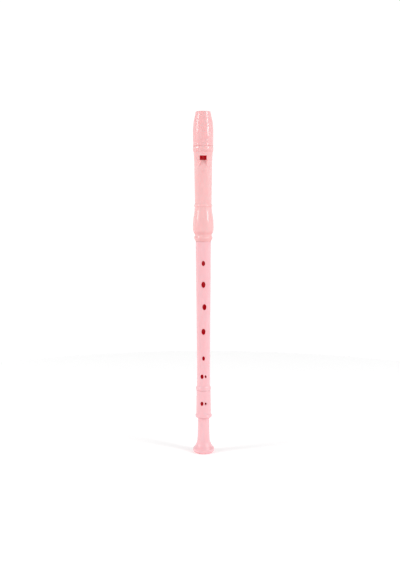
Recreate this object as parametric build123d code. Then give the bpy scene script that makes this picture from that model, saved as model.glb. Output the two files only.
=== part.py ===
from build123d import *
import os

# Soprano recorder, millimetres, +Z up the instrument, window and finger holes facing -Y.
# Origin: middle of the bell's bottom edge.

# ---- lengths, each piece on its own --------------------------------------------------
FOOT_LENGTH = 61.9
MIDDLE_LENGTH = 145.2      # between the shoulders, tenons not counted
HEAD_LENGTH = 89.95
BEAK_LENGTH = 32.6
SEAT_GAP = 0.15            # open line between two joints pushed home
SEAM_GAP = 0.05            # fine seam between head tube and mouthpiece

# ---- bores and walls -----------------------------------------------------------------
HEAD_BORE_R = 5.3
HEAD_WALL = 2.69
MIDDLE_BORE_TOP_R = 4.9
MIDDLE_BORE_LOW_R = 3.7
MIDDLE_WALL_TOP = 2.39
MIDDLE_WALL_LOW = 2.7
FOOT_BORE_R = 3.5
WAIST_WALL = 2.12          # narrow part of the foot
BELL_FLARE = 4.75          # how far the bell stands out from the narrow part
BELL_MOUTH_R = 5.2
BELL_MOUTH_DEPTH = 6.0

# ---- tenons, sockets, seals ----------------------------------------------------------
HEAD_SOCKET_DEPTH = 26.1
FOOT_SOCKET_DEPTH = 8.2
HEAD_STEP = 0.55           # shoulder between the tube and the upper tenon
FOOT_STEP = 0.91           # shoulder between the tube and the lower tenon
SOCKET_FIT = 0.06          # radial play of a tenon in its socket
TENON_END_GAP = 0.4        # tenon end to socket floor
HEAD_SOCKET_WALL = 1.27
FOOT_SOCKET_WALL = 1.35
HEAD_GROOVE_DEPTH = 0.79
FOOT_GROOVE_DEPTH = 0.59
HEAD_SEAL_WIDTH = 2.9
FOOT_SEAL_WIDTH = 2.1
HEAD_SEAL_UP = 12.5        # seal's middle above the upper shoulder
FOOT_SEAL_DOWN = 3.9       # seal's middle below the lower shoulder
SEAL_PLAY = 0.05           # seal to groove, all round
SEAL_FIT = 0.03            # seal to socket

# ---- window, windway, beak -----------------------------------------------------------
SPIGOT_DEPTH = 4.95        # mouthpiece spigot inside the head tube
SPIGOT_WALL = 1.45
FIT = 0.04                 # radial clearance of pieces fixed in each other
WINDOW_WIDTH = 6.5
WINDOW_HEIGHT = 4.1
WINDOW_DOWN = 8.85         # window's top edge below the head tube's top
RAMP_LENGTH = 8.6
RAMP_LEAN = 0.56           # sideways run of the ramp's side walls per unit of depth
RAMP_HALF = 2.3            # half width of the ramp's floor at its edge
RAMP_LIP = 0.15            # thickness of the ramp's edge outside the bore
WINDWAY_HEIGHT = 1.3
BEAK_TIP_WALL = 1.93
BEAK_TIP_DEPTH = 1.5       # undercut surface in front of the axis at the tip

# ---- tone holes ----------------------------------------------------------------------
HOLE_RIM = 0.3             # bevel round every tone hole
# Share of the middle joint's length below its upper shoulder (pitch goes with length),
# then sideways offset, width, height.
MIDDLE_HOLES = [
    (0.1429, 0.0, 3.3, 4.8),
    (0.2841, 0.0, 3.9, 5.8),
    (0.4329, 0.95, 3.8, 5.7),
    (0.5981, 0.0, 3.8, 5.7),
    (0.7779, 0.0, 2.7, 4.1),
    (0.9019, -1.6, 2.7, 4.2),
    (0.9019, 2.15, 1.6, 2.5),
]
THUMB_HOLE = (0.0954, 0.0, 3.4, 4.9)
# Sideways offset, width, height; both lie this far below the foot's socket floor.
FOOT_HOLES = [(-1.65, 2.8, 4.1), (2.0, 1.7, 2.5)]
FOOT_HOLE_DOWN = 4.0

# ---- heights that follow -------------------------------------------------------------
LOW_SHOULDER = FOOT_LENGTH + SEAT_GAP
TOP_SHOULDER = LOW_SHOULDER + MIDDLE_LENGTH
HEAD_BOTTOM = TOP_SHOULDER + SEAT_GAP
HEAD_TOP = HEAD_BOTTOM + HEAD_LENGTH
BEAK_BOTTOM = HEAD_TOP + SEAM_GAP
BEAK_TOP = BEAK_BOTTOM + BEAK_LENGTH
HEAD_SOCKET_FLOOR = HEAD_BOTTOM + HEAD_SOCKET_DEPTH
FOOT_SOCKET_FLOOR = FOOT_LENGTH - FOOT_SOCKET_DEPTH
HEAD_TENON_END = HEAD_SOCKET_FLOOR - TENON_END_GAP
FOOT_TENON_END = FOOT_SOCKET_FLOOR + TENON_END_GAP
HEAD_SEAL_Z = TOP_SHOULDER + HEAD_SEAL_UP
FOOT_SEAL_Z = LOW_SHOULDER - FOOT_SEAL_DOWN
SPIGOT_BOTTOM = HEAD_TOP - SPIGOT_DEPTH
WINDOW_TOP = HEAD_TOP - WINDOW_DOWN
WINDOW_BOTTOM = WINDOW_TOP - WINDOW_HEIGHT
RAMP_BOTTOM = WINDOW_BOTTOM - RAMP_LENGTH

# ---- radii that follow ---------------------------------------------------------------
HEAD_R = HEAD_BORE_R + HEAD_WALL
MIDDLE_TOP_R = MIDDLE_BORE_TOP_R + MIDDLE_WALL_TOP
MIDDLE_LOW_R = MIDDLE_BORE_LOW_R + MIDDLE_WALL_LOW
HEAD_TENON_R = MIDDLE_TOP_R - HEAD_STEP
FOOT_TENON_R = MIDDLE_LOW_R - FOOT_STEP
HEAD_SOCKET_R = HEAD_TENON_R + SOCKET_FIT
FOOT_SOCKET_R = FOOT_TENON_R + SOCKET_FIT
NECK_R = HEAD_SOCKET_R + HEAD_SOCKET_WALL
FOOT_TOP_R = FOOT_SOCKET_R + FOOT_SOCKET_WALL
WAIST_R = FOOT_BORE_R + WAIST_WALL
BELL_R = WAIST_R + BELL_FLARE
SPIGOT_R = HEAD_BORE_R + SPIGOT_WALL
BEAK_TIP_R = HEAD_BORE_R + BEAK_TIP_WALL
WINDWAY_FLOOR_Y = WINDWAY_HEIGHT - HEAD_BORE_R
RAMP_EDGE_Y = -HEAD_BORE_R - RAMP_LIP


# ---- helpers -------------------------------------------------------------------------
def turned(*runs):
    """Solid of revolution: smooth runs of (radius, z) joined by straight lines."""
    edges, last = [], None
    for run in runs:
        if last is not None and last != run[0]:
            edges.append(Line(last, run[0]))
        edges.append(Spline(*run) if len(run) > 2 else Line(*run))
        last = run[-1]
    edges.append(Line(last, runs[0][0]))
    return revolve(Plane.XZ * make_face(edges), Axis.Z)


def run(radius, base, *steps):
    """Outline run whose (radius step, height step) pairs start at a radius and a height."""
    return [(radius + r, base + z) for r, z in steps]


def rod(radius, low, high):
    """Upright cylinder between two heights."""
    return Pos(0, 0, (low + high) / 2) * Cylinder(radius, high - low)


def ring(inner, outer, low, high):
    """Upright tube between two heights."""
    return rod(outer, low, high) - rod(inner, low - 1, high + 1)


def taper(low_r, low, high_r, high):
    """Upright cone between two heights."""
    return Pos(0, 0, (low + high) / 2) * Cone(low_r, high_r, high - low)


def side_prism(edges, width):
    """Closed outline of (y, z) edges carried across the width in x."""
    return Pos(-width / 2, 0, 0) * extrude(Plane.YZ * make_face(edges), width)


def tone_hole(z, x, width, height, surface_r, facing=-1):
    """Oval cutter with a bevelled rim, straight out of the bore toward -Y or +Y."""
    out = Vector(0, facing, 0)
    depth = (surface_r ** 2 - x ** 2) ** 0.5

    def oval(reach, grow):
        plane = Plane(origin=Vector(x, 0, z) + out * reach, x_dir=(1, 0, 0), z_dir=out)
        return plane * Ellipse(width / 2 + grow, height / 2 + grow)

    bore = extrude(oval(0.5, 0), surface_r + 3)
    rim = loft([oval(depth - 0.45, 0.0), oval(depth + 0.45, 2 * HOLE_RIM)])
    return bore + rim


def middle_radius(z):
    """Outer radius of the middle joint: low end radius, swelling as 2.25 t^2 - 1.25 t^3."""
    t = min(max((z - LOW_SHOULDER - 7.4) / (MIDDLE_LENGTH - 7.7), 0.0), 1.0)
    return MIDDLE_LOW_R + (MIDDLE_TOP_R - MIDDLE_LOW_R) * (2.25 * t * t - 1.25 * t ** 3)


# ---- pieces --------------------------------------------------------------------------
def head_tube():
    """Head with the socket bulge below and the window and its ramp near the top."""
    shaft_low = HEAD_BOTTOM + 35.9
    shaft = HEAD_TOP - 5.2 - shaft_low
    outer = turned(
        [(0, HEAD_BOTTOM), (NECK_R - 0.62, HEAD_BOTTOM)],
        run(NECK_R, HEAD_BOTTOM, (-0.62, 0.0), (-0.34, 0.8), (0.16, 1.7), (0.56, 2.6)),
        run(NECK_R, HEAD_BOTTOM, (0.56, 2.6), (0.7, 3.1), (0.72, 3.7), (0.5, 4.5), (0.08, 5.2)),
        run(NECK_R, HEAD_BOTTOM, (0.02, 6.1), (0.1, 6.7), (0.5, 7.4), (1.05, 8.4), (1.5, 9.45),
            (1.74, 10.7), (1.86, 12.5), (1.84, 15.5), (1.66, 19.0), (1.24, 23.0))
        + run(HEAD_R, HEAD_BOTTOM, (0.87, 25.8), (0.45, 28.7), (0.26, 31.7), (0.24, 32.7)),
        run(HEAD_R, HEAD_BOTTOM, (0.26, 32.8), (0.48, 33.3), (0.61, 34.2), (0.41, 35.1), (0.06, 35.7)),
        [(HEAD_R + grow, shaft_low + shaft * share) for grow, share in (
            (0.0, 0.0), (0.0, 0.063), (0.09, 0.174), (0.21, 0.296), (0.34, 0.448),
            (0.44, 0.621), (0.51, 0.742), (0.64, 0.844), (0.88, 0.925), (1.08, 0.975), (1.12, 1.0))],
        run(HEAD_R, HEAD_TOP, (1.2, -4.95), (1.5, -4.4), (1.7, -3.7), (1.79, -2.9), (1.8, -2.0),
            (1.73, -1.1), (1.56, -0.4)),
        [(HEAD_R + 1.42, HEAD_TOP), (0, HEAD_TOP)],
    )
    body = outer - rod(HEAD_BORE_R, HEAD_BOTTOM - 1, HEAD_TOP + 1)
    body -= rod(HEAD_SOCKET_R, HEAD_BOTTOM - 1, HEAD_SOCKET_FLOOR)
    body -= taper(HEAD_SOCKET_R + 0.15, HEAD_BOTTOM, HEAD_SOCKET_R, HEAD_BOTTOM + 0.3)
    body -= rod(SPIGOT_R + FIT, SPIGOT_BOTTOM - 0.1, HEAD_TOP + 1)
    return body - window() - ramp()


def window():
    """Square-edged opening between windway and ramp."""
    reach = HEAD_R + 2
    inner = WINDWAY_FLOOR_Y + 0.5
    middle = (inner - reach) / 2
    return Pos(0, middle, WINDOW_BOTTOM + WINDOW_HEIGHT / 2) * Box(WINDOW_WIDTH, inner + reach, WINDOW_HEIGHT)


def ramp():
    """Sloping face below the window, its side walls leaning outward."""
    reach = HEAD_R + 1.8
    wide = RAMP_HALF + RAMP_LEAN * (reach + RAMP_EDGE_Y)
    walls = make_face(Polyline((-RAMP_HALF, RAMP_EDGE_Y), (RAMP_HALF, RAMP_EDGE_Y),
                               (wide, -reach), (-wide, -reach), close=True))
    channel = Pos(0, 0, RAMP_BOTTOM - 6) * extrude(walls, RAMP_LENGTH + 6.05)
    low_y = -(HEAD_R + 0.5)
    beyond_y = low_y + (low_y - RAMP_EDGE_Y) * 4 / RAMP_LENGTH
    top = WINDOW_BOTTOM + 1
    wedge = side_prism(Polyline(
        (RAMP_EDGE_Y, WINDOW_BOTTOM), (RAMP_EDGE_Y, top), (-reach - 4, top),
        (-reach - 4, RAMP_BOTTOM - 4), (beyond_y, RAMP_BOTTOM - 4), close=True), 12)
    return channel & wedge


def beak_undercut(inset=0.0):
    """Hollow sweep that thins the back of the beak toward its tip."""
    far, back = HEAD_R + 7, HEAD_R + 2.06
    points = [(back, 0.162), (back - 3.3, 0.274), (back - 7.3, 0.456), (-BEAK_TIP_DEPTH + 1.5, 0.676),
              (-BEAK_TIP_DEPTH + 0.3, 0.882), (-BEAK_TIP_DEPTH, 1.03)]
    points = [(y - inset, BEAK_BOTTOM + BEAK_LENGTH * share) for y, share in points]
    low, high = points[0][1], points[-1][1]
    edges = [Spline(*points), Line(points[-1], (far, high)), Line((far, high), (far, low)),
             Line((far, low), points[0])]
    return side_prism(edges, 40)


def mouthpiece():
    """Beak shell with the spigot that plugs into the head tube."""
    beak_r = HEAD_R + 1.54
    scale = BEAK_LENGTH / 32.6
    outer = turned(
        [(0, BEAK_BOTTOM), (beak_r - 0.12, BEAK_BOTTOM)],
        run(beak_r, BEAK_BOTTOM, (-0.04, 0.25), (0.12, 0.7), (0.18, 1.3), (0.14, 1.9), (0.05, 2.4)),
        run(beak_r, BEAK_BOTTOM, (0.06, 3.2 * scale), (0.12, 7.5 * scale), (0.16, 12.2 * scale),
            (0.12, 15.2 * scale), (0.0, 17.9 * scale), (-0.2, 20.6 * scale), (-0.58, 23.4 * scale))
        + run(BEAK_TIP_R, BEAK_BOTTOM, (1.14, 26.2 * scale), (0.5, 29.0 * scale), (0.12, 31.5 * scale)),
        run(BEAK_TIP_R, BEAK_TOP, (0.08, -0.9), (-0.06, -0.38), (-0.5, 0.0)),
        [(BEAK_TIP_R - 0.5, BEAK_TOP), (0, BEAK_TOP)],
    )
    body = outer + rod(SPIGOT_R, SPIGOT_BOTTOM, BEAK_BOTTOM + 1)
    return body - rod(HEAD_BORE_R, SPIGOT_BOTTOM - 1, BEAK_TOP + 1) - beak_undercut()


def windway_block():
    """Plug behind the windway: flat front, back flush with the beak's undercut."""
    body = rod(HEAD_BORE_R - FIT, WINDOW_TOP, BEAK_TOP - 0.2)
    span = BEAK_TOP - WINDOW_TOP + 20
    front = Pos(0, WINDWAY_FLOOR_Y - 5, WINDOW_TOP + span / 2 - 10) * Box(30, 10, span)
    lip = side_prism(Polyline(
        (WINDWAY_FLOOR_Y - 1, WINDOW_TOP - 1), (WINDWAY_FLOOR_Y + 0.5, WINDOW_TOP - 1),
        (WINDWAY_FLOOR_Y + 0.5, WINDOW_TOP), (WINDWAY_FLOOR_Y, WINDOW_TOP + 0.5),
        (WINDWAY_FLOOR_Y - 1, WINDOW_TOP + 0.5), close=True), 20)
    return body - front - lip - beak_undercut(inset=0.05)


def middle_joint():
    """Body tube with tone holes, end ring and a grooved tenon at both ends."""
    tube = [LOW_SHOULDER + 7.4 + (MIDDLE_LENGTH - 7.7) * step / 8 for step in range(9)]
    outer = turned(
        [(0, LOW_SHOULDER), (MIDDLE_LOW_R + 0.55, LOW_SHOULDER)],
        run(MIDDLE_LOW_R, LOW_SHOULDER, (0.66, 0.2), (0.86, 0.9), (0.88, 1.7), (0.78, 2.6),
            (0.44, 3.5), (0.15, 4.3)),
        run(MIDDLE_LOW_R, LOW_SHOULDER, (0.08, 4.7), (0.01, 6.2)) + [(middle_radius(z), z) for z in tube],
        [(MIDDLE_TOP_R - 0.14, TOP_SHOULDER), (0, TOP_SHOULDER)],
    )
    body = outer + rod(HEAD_TENON_R, TOP_SHOULDER - 1, HEAD_TENON_END - 0.5)
    body += taper(HEAD_TENON_R, HEAD_TENON_END - 0.5, HEAD_TENON_R - 0.4, HEAD_TENON_END)
    body += rod(FOOT_TENON_R, FOOT_TENON_END + 0.4, LOW_SHOULDER + 1)
    body += taper(FOOT_TENON_R - 0.3, FOOT_TENON_END, FOOT_TENON_R, FOOT_TENON_END + 0.4)
    body -= groove(HEAD_TENON_R - HEAD_GROOVE_DEPTH, HEAD_TENON_R + 1, HEAD_SEAL_Z, HEAD_SEAL_WIDTH)
    body -= groove(FOOT_TENON_R - FOOT_GROOVE_DEPTH, FOOT_TENON_R + 1, FOOT_SEAL_Z, FOOT_SEAL_WIDTH)
    body -= taper(MIDDLE_BORE_LOW_R, FOOT_TENON_END - 0.01, MIDDLE_BORE_TOP_R, HEAD_TENON_END + 0.01)
    for share, x, width, height in MIDDLE_HOLES:
        z = TOP_SHOULDER - share * MIDDLE_LENGTH
        body -= tone_hole(z, x, width, height, middle_radius(z))
    share, x, width, height = THUMB_HOLE
    z = TOP_SHOULDER - share * MIDDLE_LENGTH
    return body - tone_hole(z, x, width, height, middle_radius(z), facing=1)


def groove(inner, outer, centre, seal_width):
    """Ring-shaped cutter for a seal with its play at both sides."""
    half = seal_width / 2 + SEAL_PLAY
    return ring(inner, outer, centre - half, centre + half)


def seal_ring(groove_r, socket_r, centre, width):
    """Flat seal ring between groove floor and socket, with rounded outer edges."""
    outer = socket_r - SEAL_FIT
    body = ring(groove_r + SEAL_PLAY, outer, centre - width / 2, centre + width / 2)
    rims = [e for e in body.edges() if e.geom_type == GeomType.CIRCLE and e.radius > outer - 0.01]
    return fillet(rims, 0.25)


def head_seal_ring():
    """Seal on the upper tenon."""
    return seal_ring(HEAD_TENON_R - HEAD_GROOVE_DEPTH, HEAD_SOCKET_R, HEAD_SEAL_Z, HEAD_SEAL_WIDTH)


def foot_seal_ring():
    """Seal on the lower tenon."""
    return seal_ring(FOOT_TENON_R - FOOT_GROOVE_DEPTH, FOOT_SOCKET_R, FOOT_SEAL_Z, FOOT_SEAL_WIDTH)


def foot_joint():
    """Foot with its socket, double hole, ring, narrow waist and flared bell."""
    flare = BELL_FLARE / 4.75
    outer = turned(
        [(0, 0), (BELL_R - 2.3, 0)],
        run(BELL_R, 0, (-2.3, 0.0), (-1.4, 0.22), (-0.7, 0.7), (-0.2, 1.5), (0.0, 2.5), (-0.02, 3.5),
            (-0.17, 4.25)),
        [(WAIST_R + grow * flare, z) for grow, z in (
            (4.13, 4.9), (3.13, 5.9), (2.4, 7.0), (1.75, 8.3), (1.2, 9.7), (0.8, 11.3),
            (0.51, 13.3), (0.35, 15.9), (0.2, 19.4), (0.06, 22.9))]
        + [(WAIST_R, FOOT_LENGTH - 33.8), (WAIST_R, FOOT_LENGTH - 27.5)],
        [(WAIST_R + 0.28, FOOT_LENGTH - 27.0), (FOOT_TOP_R + 0.5, FOOT_LENGTH - 26.7)],
        run(FOOT_TOP_R, FOOT_LENGTH, (0.95, -26.35), (1.2, -25.7), (1.24, -25.0), (1.04, -24.2),
            (0.6, -23.4), (0.4, -22.6)),
        run(FOOT_TOP_R, FOOT_LENGTH, (0.37, -22.0), (0.36, -18.9), (0.28, -15.4), (0.21, -11.9),
            (0.16, -8.9), (0.1, -5.4), (0.04, -0.6)),
        [(FOOT_TOP_R - 0.12, FOOT_LENGTH), (0, FOOT_LENGTH)],
    )
    body = outer - rod(FOOT_BORE_R, -1, FOOT_LENGTH + 1)
    body -= rod(FOOT_SOCKET_R, FOOT_SOCKET_FLOOR, FOOT_LENGTH + 1)
    body -= taper(FOOT_SOCKET_R, FOOT_LENGTH - 0.3, FOOT_SOCKET_R + 0.3, FOOT_LENGTH)
    body -= taper(BELL_MOUTH_R, -0.01, FOOT_BORE_R, BELL_MOUTH_DEPTH)
    for x, width, height in FOOT_HOLES:
        body -= tone_hole(FOOT_SOCKET_FLOOR - FOOT_HOLE_DOWN, x, width, height, FOOT_TOP_R + 0.28)
    return body


NODES = [head_tube, mouthpiece, windway_block, head_seal_ring, middle_joint, foot_seal_ring, foot_joint]

os.makedirs("parts", exist_ok=True)
for make in NODES:
    export_step(make(), f"parts/{make.__name__}.step")
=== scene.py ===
import math

import bpy
import numpy as np
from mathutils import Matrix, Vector

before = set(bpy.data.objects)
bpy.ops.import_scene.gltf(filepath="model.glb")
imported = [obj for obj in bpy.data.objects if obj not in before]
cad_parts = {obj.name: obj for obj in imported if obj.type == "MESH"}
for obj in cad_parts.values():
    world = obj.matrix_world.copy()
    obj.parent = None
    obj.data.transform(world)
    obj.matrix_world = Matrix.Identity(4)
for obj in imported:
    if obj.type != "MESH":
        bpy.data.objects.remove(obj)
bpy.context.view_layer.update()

# Lengths are in metres and colours are linear.

# Colours of the plastic.
BEAK_SKIN = (0.860, 0.474, 0.476)
HEAD_SKIN = (0.860, 0.494, 0.492)
BODY_SKIN = (0.865, 0.501, 0.530)
CLOUD_TINT = (1.0, 0.955, 0.965)      # times the skin, at the cloudiness' full strength
# Painted shade: the skin is darkened by the tint below in creases and on undersides.
PAINTED_SHADE_TINT = (0.94, 0.60, 0.60)     # times the skin, in creases and on undersides
# Painted shade and painted light: deep red colour and red emission in bores and hole walls,
# standing in for the shade inside them and the light that comes through the plastic.
DEEP_RED = (0.42, 0.012, 0.022)
GLOW_RED = (1.0, 0.012, 0.030)
GLOW_STRENGTH = 0.20
SMALL_HOLE_GLOW = 0.35                # share of the glow left in the small holes
SMALL_HOLE_TOP = 0.09                 # the small holes all lie below this height

# Painted shade in creases: how open a point is to its surroundings, where the painted shade
# starts and where it is full.
CREASE_REACH, CREASE_START, CREASE_FULL, CREASE_MOST = 0.0016, 0.92, 0.45, 0.5
# Painted shade on undersides: height part of the outward direction, where the painted shade
# starts and where it is full.
UNDER_START, UNDER_FULL, UNDER_MOST = -0.10, -0.60, 0.48

# Surface of the plastic.
CLOUD_SCALE, GLOSS_SCALE, PEEL_SCALE = 55.0, 240.0, 900.0
ROUGH_LOW, ROUGH_HIGH = 0.06, 0.11
PEEL_STRENGTH, PEEL_DEPTH = 0.008, 0.0002

# Glow lines, from (height, radius) to (height, radius): at the bore, or just inside the outer
# wall where finger holes cut it.
BORE = 0.0056
NO_GLOW = ((0.29, 0.0), (0.33, 0.0))
BLOCK_LINE = ((0.289, BORE), (0.292, 0.0))
HEAD_LINE = ((0.20, BORE), (0.30, BORE))
BODY_LINE = ((0.10, 0.0063), (0.207, 0.0071))
FOOT_LINE = ((0.0352, 0.0050), (0.040, 0.0067))
LOW_SHOULDER, TOP_SHOULDER = 0.0623, 0.207
BODY_SMALL_HOLE_X, FOOT_SMALL_HOLE_X = 0.0011, 0.0009
TUBE_FADE, BORE_FADE = 0.0004, 0.0003

# Pale seal.
SEAL_DARK, SEAL_LIGHT = (0.58, 0.55, 0.50), (0.68, 0.65, 0.60)
GRAIN_SCALE, GRAIN_STRENGTH, GRAIN_DEPTH, SEAL_ROUGH = 1500.0, 0.15, 0.0001, 0.6

# Floor.
FLOOR_REACH, FLOOR_RINGS, FLOOR_STEPS = 0.55, 12, 96
FLOOR_TONE, FLOOR_ROUGH, FLOOR_LIFT = 0.93, 0.9, 0.24

# Lamps, room and camera.
LAMP_TARGET = Vector((0, 0, 0.165))
BACKDROP_STRENGTH = 1.05
SENSOR_WIDTH = 36.0
LENS = SENSOR_WIDTH * 800 / 570
CAMERA_PLACE = (-0.0031, -0.7691, 0.2421)
CAMERA_DIP, CAMERA_ROLL = 5.71, 0.12  # degrees down from level, and round the view line


# ---- node trees ----------------------------------------------------------------------
class Tree:
    """Adds nodes to one node tree in short calls. A term is a plain value or the output of
    another node, and every call but node and feed gives the new node's output."""

    def __init__(self, tree):
        self.tree = tree

    def feed(self, socket, term):
        if isinstance(term, bpy.types.NodeSocket):
            self.tree.links.new(term, socket)
        else:
            socket.default_value = term

    def node(self, kind, **settings):
        made = self.tree.nodes.new("ShaderNode" + kind)
        for key, term in settings.items():
            if key in made.inputs.keys():
                self.feed(made.inputs[key], term)
            else:
                setattr(made, key, term)
        return made

    def calc(self, operation, first, second):
        made = self.node("Math", operation=operation)
        self.feed(made.inputs[0], first)
        self.feed(made.inputs[1], second)
        return made.outputs["Value"]

    def carry(self, value, start, end, low=0.0, high=1.0, curve="LINEAR"):
        """The value carried from start..end to low..high, and held level beyond both ends."""
        made = self.node("MapRange", interpolation_type=curve)
        for key, term in zip(("Value", "From Min", "From Max", "To Min", "To Max"),
                             (value, start, end, low, high)):
            self.feed(made.inputs[key], term)
        return made.outputs["Result"]

    def blend(self, factor, first, second):
        """The first colour turned to the second by the factor."""
        made = self.node("Mix", data_type="RGBA")
        self.feed(made.inputs["Factor"], factor)
        first_colour, second_colour = made.inputs[6], made.inputs[7]
        self.feed(first_colour, first)
        self.feed(second_colour, second)
        return made.outputs[2]

    def noise(self, place, **settings):
        return self.node("TexNoise", Vector=place, **settings).outputs["Fac"]


def new_finish(name):
    """New node material and its tree."""
    material = bpy.data.materials.new(name)
    material.use_nodes = True
    return material, Tree(material.node_tree)


def set_shader(material, tree, settings):
    """Sets the Principled shader's sockets to plain values, or links nodes to them."""
    principled = material.node_tree.nodes["Principled BSDF"]
    for key, term in settings.items():
        tree.feed(principled.inputs[key], term)


def rgba(colour, tint=(1.0, 1.0, 1.0)):
    """The colour times the tint, with full cover."""
    return (colour[0] * tint[0], colour[1] * tint[1], colour[2] * tint[2], 1)


# ---- materials -----------------------------------------------------------------------
def milky_plastic(name, skin, wall_line, span=(0.0, 1.0), fade=TUBE_FADE, small_hole_x=1.0):
    """Glossy milky plastic.

    Colour: the skin with a faint cloudiness, and painted shade that deepens it in creases
    and on faces that look down.
    Glow, as painted shade and painted light: deep red colour and red emission where the
    distance from the axis falls below a wall line, which runs straight between two points of
    height and radius. It is full a fade below the line and stands in for the shade inside
    bores and hole walls and for light that comes through coloured plastic. It stays within
    the heights of span, so that tenons keep the plain colour, and its emission is weaker to
    the right of small_hole_x below SMALL_HOLE_TOP.
    Surface: roughness that drifts with a noise, and a light orange peel."""
    material, tree = new_finish(name)
    place = tree.node("TexCoord").outputs["Object"]
    split = tree.node("SeparateXYZ", Vector=place)
    side, height = split.outputs["X"], split.outputs["Z"]

    flat = tree.node("VectorMath", operation="MULTIPLY")
    tree.feed(flat.inputs[0], place)
    flat.inputs[1].default_value = (1, 1, 0)
    reach = tree.node("VectorMath", operation="LENGTH")
    tree.feed(reach.inputs[0], flat.outputs["Vector"])
    (low_z, low_radius), (high_z, high_radius) = wall_line
    wall = tree.carry(height, low_z, high_z, low_radius, high_radius)
    depth = tree.calc("SUBTRACT", wall, reach.outputs["Value"])
    glow = tree.carry(depth, 0.0, fade, curve="SMOOTHSTEP")
    inside = tree.calc("MULTIPLY", tree.calc("GREATER_THAN", height, span[0]),
                       tree.calc("LESS_THAN", height, span[1]))
    lit = tree.calc("MULTIPLY", glow, inside)

    cloud = tree.noise(place, Scale=CLOUD_SCALE, Detail=3.0, Roughness=0.55)
    cloudy = tree.blend(cloud, rgba(skin), rgba(skin, CLOUD_TINT))
    # Painted shade: the colour darkens in creases, from ambient occlusion, and on faces that look
    # down.
    openness = tree.node("AmbientOcclusion", Distance=CREASE_REACH).outputs["AO"]
    crease = tree.carry(openness, CREASE_START, CREASE_FULL, high=CREASE_MOST)
    outward = tree.node("NewGeometry").outputs["Normal"]
    lean = tree.node("SeparateXYZ", Vector=outward).outputs["Z"]
    underside = tree.carry(lean, UNDER_START, UNDER_FULL, high=UNDER_MOST)
    painted_shade = tree.blend(tree.calc("MAXIMUM", crease, underside), cloudy,
                         rgba(skin, PAINTED_SHADE_TINT))
    # Painted shade and painted light: bores and hole walls turn deep red.
    colour = tree.blend(lit, painted_shade, rgba(DEEP_RED))

    gloss = tree.noise(place, Scale=GLOSS_SCALE, Detail=2.0)
    peel = tree.noise(place, Scale=PEEL_SCALE, Detail=1.0)
    bump = tree.node("Bump", Strength=PEEL_STRENGTH, Distance=PEEL_DEPTH, Height=peel)

    # Painted light: red emission from the bores and hole walls, weaker in the small holes.
    large_hole = tree.calc("MAXIMUM", tree.calc("LESS_THAN", side, small_hole_x),
                           tree.calc("GREATER_THAN", height, SMALL_HOLE_TOP))
    share = tree.calc("MAXIMUM", large_hole, SMALL_HOLE_GLOW)
    through = tree.calc("MULTIPLY", lit, GLOW_STRENGTH)

    set_shader(material, tree, {
        "Base Color": colour,
        "Roughness": tree.carry(gloss, 0.0, 1.0, ROUGH_LOW, ROUGH_HIGH),
        "Normal": bump.outputs["Normal"],
        "Emission Strength": tree.calc("MULTIPLY", through, share),
        "Emission Color": rgba(GLOW_RED),
        "IOR": 1.5,
        "Subsurface Weight": 0.25,
        "Subsurface Radius": (1.0, 0.35, 0.35),
        "Subsurface Scale": 0.0012,
    })
    return material


def soft_seal(name):
    """Pale soft seal: matt, with a fine grain in its tone and its surface."""
    material, tree = new_finish(name)
    place = tree.node("TexCoord").outputs["Object"]
    grain = tree.noise(place, Scale=GRAIN_SCALE, Detail=3.0)
    tone = tree.node("ValToRGB", Fac=grain)
    tone.color_ramp.elements[0].color = rgba(SEAL_DARK)
    tone.color_ramp.elements[1].color = rgba(SEAL_LIGHT)
    bump = tree.node("Bump", Strength=GRAIN_STRENGTH, Distance=GRAIN_DEPTH, Height=grain)
    set_shader(material, tree, {
        "Base Color": tone.outputs["Color"],
        "Normal": bump.outputs["Normal"],
        "Roughness": SEAL_ROUGH,
    })
    return material


def dress(node_name, material):
    """Gives a CAD node its finish through its own material slots."""
    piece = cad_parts[node_name]
    if not piece.data.materials:
        piece.data.materials.append(material)
    for index in range(len(piece.data.materials)):
        piece.data.materials[index] = material


dress("mouthpiece", milky_plastic("beak_pink", BEAK_SKIN, NO_GLOW))
dress("windway_block", milky_plastic("block_pink", BEAK_SKIN, BLOCK_LINE, fade=BORE_FADE))
dress("head_tube", milky_plastic("head_pink", HEAD_SKIN, HEAD_LINE, fade=BORE_FADE))
dress("middle_joint", milky_plastic("body_pink", BODY_SKIN, BODY_LINE,
                                    span=(LOW_SHOULDER, TOP_SHOULDER),
                                    small_hole_x=BODY_SMALL_HOLE_X))
dress("foot_joint", milky_plastic("foot_pink", BODY_SKIN, FOOT_LINE,
                                  small_hole_x=FOOT_SMALL_HOLE_X))
PALE_SEAL = soft_seal("pale_seal")
dress("head_seal_ring", PALE_SEAL)
dress("foot_seal_ring", PALE_SEAL)


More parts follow.
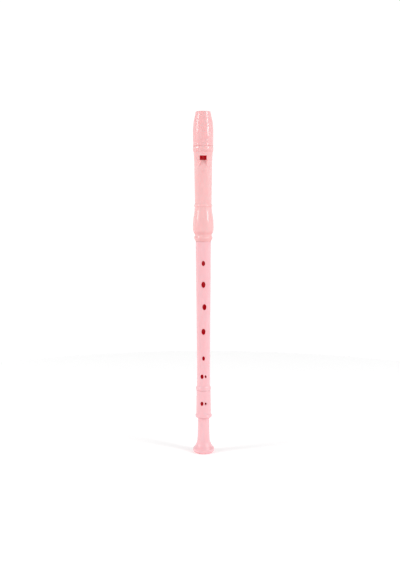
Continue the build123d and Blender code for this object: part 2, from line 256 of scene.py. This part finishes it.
# ---- floor, light, camera ------------------------------------------------------------
def studio_floor():
    """Round pale floor at the bell's lower edge: a disc of rings, radius times the cosine and
    sine of the angle round it, with one flat face in its middle."""
    rings, steps = FLOOR_RINGS, FLOOR_STEPS
    r = np.linspace(0.0, FLOOR_REACH, rings + 1)[1:, None]
    a = np.linspace(0.0, 2 * np.pi, steps, endpoint=False)[None, :]
    points = np.stack([r * np.cos(a), r * np.sin(a), np.zeros((rings, steps))], -1).reshape(-1, 3)
    i, j = np.meshgrid(np.arange(rings - 1), np.arange(steps), indexing="ij")
    k = (j + 1) % steps
    quads = np.stack([i * steps + j, (i + 1) * steps + j, (i + 1) * steps + k, i * steps + k], -1)
    mesh = bpy.data.meshes.new("studio_floor")
    mesh.from_pydata(points.tolist(), [], quads.reshape(-1, 4).tolist() + [list(range(steps))])
    floor = bpy.data.objects.new("studio_floor", mesh)
    bpy.context.scene.collection.objects.link(floor)
    material, tree = new_finish("pale_floor")
    set_shader(material, tree, {
        "Base Color": (FLOOR_TONE, FLOOR_TONE, FLOOR_TONE, 1),
        "Roughness": FLOOR_ROUGH,
        "Specular IOR Level": 0.0,
        "Emission Color": (1, 1, 1, 1),
        "Emission Strength": FLOOR_LIFT,
    })
    mesh.materials.append(material)


def softbox(name, azimuth, elevation, distance, width, height, power):
    """Tall soft lamp aimed at the recorder from an azimuth (0 is the front, + is the right)
    and an elevation, both in degrees."""
    a, e = math.radians(azimuth), math.radians(elevation)
    away = Vector((math.sin(a) * math.cos(e), -math.cos(a) * math.cos(e), math.sin(e)))
    lamp = bpy.data.lights.new(name, "AREA")
    lamp.shape = "RECTANGLE"
    lamp.size, lamp.size_y = width, height
    lamp.energy = power
    holder = bpy.data.objects.new(name, lamp)
    holder.location = LAMP_TARGET + away * distance
    holder.rotation_euler = away.to_track_quat("Z", "Y").to_euler()
    bpy.context.scene.collection.objects.link(holder)


def soft_room(below, front, behind, front_sides, behind_sides, above):
    """Room of soft light. Directions below the horizon have one strength. Above it the strength
    of the direction (x, y, z) is front y^2 + front_sides x^2 + above z^2 on the lens side of the
    recorder, and behind y^2 + behind_sides x^2 + above z^2 on the far side.
    Rays straight from the lens see plain white."""
    world = bpy.data.worlds.new("soft_room")
    bpy.context.scene.world = world
    world.use_nodes = True
    tree = Tree(world.node_tree)
    direction = tree.node("TexCoord").outputs["Generated"]
    x, y, z = tree.node("SeparateXYZ", Vector=direction).outputs

    def share(along, weight):
        """The square of one part of the direction, times its weight."""
        return tree.calc("MULTIPLY", tree.calc("MULTIPLY", along, along), weight)

    far = tree.calc("GREATER_THAN", y, 0.0)
    depth = tree.calc("ADD", tree.calc("MULTIPLY", far, behind - front), front)
    breadth = tree.calc("ADD", tree.calc("MULTIPLY", far, behind_sides - front_sides),
                        front_sides)
    level = tree.calc("ADD", share(x, breadth), share(y, depth))
    level = tree.calc("ADD", share(z, above), level)
    upper = tree.calc("GREATER_THAN", z, 0.0)
    lower = tree.calc("MULTIPLY", tree.calc("SUBTRACT", 1.0, upper), below)
    level = tree.calc("ADD", tree.calc("MULTIPLY", level, upper), lower)

    room = world.node_tree.nodes["Background"]
    tree.feed(room.inputs["Color"], (1.0, 1.0, 1.0, 1))
    tree.feed(room.inputs["Strength"], level)
    white = tree.node("Background", Color=(1.0, 1.0, 1.0, 1), Strength=BACKDROP_STRENGTH)
    mix = tree.node("MixShader", Fac=tree.node("LightPath").outputs["Is Camera Ray"])
    tree.feed(mix.inputs[1], room.outputs["Background"])
    tree.feed(mix.inputs[2], white.outputs["Background"])
    output = world.node_tree.nodes["World Output"]
    tree.feed(output.inputs["Surface"], mix.outputs["Shader"])


def front_camera():
    """Camera a little above the head's middle, tipped down, with no shift."""
    camera_data = bpy.data.cameras.new("camera")
    camera_data.sensor_width = SENSOR_WIDTH
    camera_data.lens = LENS
    camera_data.clip_start, camera_data.clip_end = 0.05, 100
    camera = bpy.data.objects.new("camera", camera_data)
    camera.location = CAMERA_PLACE
    camera.rotation_euler = (math.radians(90 - CAMERA_DIP), math.radians(CAMERA_ROLL), 0)
    bpy.context.scene.collection.objects.link(camera)
    bpy.context.scene.camera = camera
    bpy.context.scene.view_settings.view_transform = "Standard"


studio_floor()
softbox("left_box", -71, 28, 1.6, 0.40, 1.05, 9.0)
softbox("right_box", 57, 26.5, 1.6, 0.46, 1.05, 10.5)
soft_room(below=0.86, front=0.50, behind=0.80, front_sides=1.40, behind_sides=0.95, above=0.22)
front_camera()
